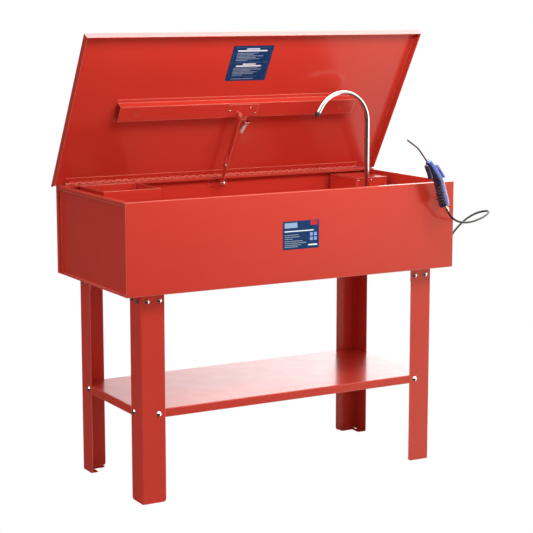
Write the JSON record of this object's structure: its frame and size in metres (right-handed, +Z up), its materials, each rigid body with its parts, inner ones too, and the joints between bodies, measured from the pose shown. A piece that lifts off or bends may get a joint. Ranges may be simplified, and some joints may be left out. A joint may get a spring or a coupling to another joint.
{
  "type": "parts washer tank",
  "caption": "Floor-standing parts washer: red sheet-metal tank on angle legs with hinged lid and stay, fold-down spout, soak tray, pump, shelf and air gun.",
  "frame": {"origin": "on the floor, midway between the four legs and under the middle of the tank", "axes": "+Z up, +X along the tank's length to the air-gun end, -Y out of the front"},
  "size_m": [1.3539, 0.6035, 1.4094],
  "materials": {
    "red_paint": "gloss powder coat",
    "zinc_hardware": "bright zinc",
    "chrome_spout": "polished",
    "black_plastic": "matte moulded",
    "clear_hose": "smooth",
    "hose_rubber": "satin",
    "gun_blue": "gloss moulded",
    "gun_steel": "drawn tube",
    "brass_fitting": "turned",
    "label_film": "printed vinyl"
  },
  "bodies": {
    "root": {"air_hose": "hose_rubber", "air_inlet": "zinc_hardware", "bracket_screws": "zinc_hardware", "cable_gland": "black_plastic", "corner_brackets": "red_paint", "drain_boss": "brass_fitting", "drain_plug": "brass_fitting", "frame_bolts": "zinc_hardware", "frame_nuts": "zinc_hardware", "gun_body": "gun_blue", "gun_fitting": "brass_fitting", "gun_holder": "red_paint", "gun_nozzle": "gun_steel", "gun_trigger_pin": "zinc_hardware", "hinge_pin": "zinc_hardware", "hinge_tank_leaf": "red_paint", "label_front": "label_film", "leg_front_left": "red_paint", "leg_front_right": "red_paint", "leg_rear_left": "red_paint", "leg_rear_right": "red_paint", "lock_nuts": "zinc_hardware", "outlet_hose": "clear_hose", "pump_base": "black_plastic", "pump_cover": "red_paint", "pump_guard": "red_paint", "pump_housing": "black_plastic", "pump_motor": "black_plastic", "pump_strainer": "black_plastic", "shelf": "red_paint", "soak_tray": "red_paint", "spout_bracket": "red_paint", "spout_cup": "chrome_spout", "spout_pivot_pin": "zinc_hardware", "stay_anchor_bolt": "zinc_hardware", "stay_anchor_nut": "zinc_hardware", "stay_lower_bracket": "red_paint", "supply_elbow": "chrome_spout", "tank_end_left": "red_paint", "tank_end_right": "red_paint", "tank_floor": "red_paint", "tank_front_panel": "red_paint", "tank_rear_panel": "red_paint", "tray_brackets": "red_paint"},
    "lid": {"lid_panel": "red_paint", "lid_rail": "red_paint", "hinge_lid_leaf": "red_paint", "stay_upper_bracket": "red_paint", "stay_upper_screws": "zinc_hardware", "stay_spring": "zinc_hardware", "spring_holder": "zinc_hardware", "label_lid": "label_film", "stay_arm_pivot_pin": "zinc_hardware"},
    "stay_arm": {"stay_arm": "red_paint"},
    "stay_link": {"stay_link": "red_paint", "stay_slot_pin": "zinc_hardware"},
    "spout": {"spout_tube": "chrome_spout", "spout_nozzle": "black_plastic"},
    "trigger": {"gun_trigger": "gun_blue"},
    "impeller": {"pump_impeller": "black_plastic"}
  },
  "joints": [
    {"name": "lid_hinge", "type": "hinge", "parent": "root", "child": "lid", "pos_m": [0, 0.259, 0.93], "axis": [1, 0, 0], "range_deg": [0, 60]},
    {"name": "stay_arm_pivot", "type": "hinge", "parent": "lid", "child": "stay_arm", "pos_m": [0, 0.09731, 1.13651], "axis": [1, 0, 0], "range_deg": [0, 2.28]},
    {"name": "stay_link_pivot", "type": "hinge", "parent": "root", "child": "stay_link", "pos_m": [0, 0.23, 0.905], "axis": [1, 0, 0], "range_deg": [0, 62.1]},
    {"name": "spout_fold", "type": "hinge", "parent": "root", "child": "spout", "pos_m": [0.44, 0.035, 0.88], "axis": [0.6428, -0.766, 0], "range_deg": [0, 90]},
    {"name": "gun_trigger_pivot", "type": "hinge", "parent": "root", "child": "trigger", "pos_m": [0.478, -0.313, 0.984], "axis": [0, 1, 0], "range_deg": [0, 6], "stiffness_Nm_per_rad": 2, "springref_deg": -2.86},
    {"name": "impeller_spin", "type": "hinge", "parent": "root", "child": "impeller", "pos_m": [0.484, 0.152, 0.68], "axis": [0, 0, 1], "continuous": true}
  ],
  "couplings": [
    {"joint": "stay_arm_pivot", "follows": "lid_hinge", "ratio": 0.038},
    {"joint": "stay_link_pivot", "follows": "lid_hinge", "ratio": 1.035},
    {"joint": "spout_fold", "follows": "lid_hinge", "ratio": 1.5}
  ]
}
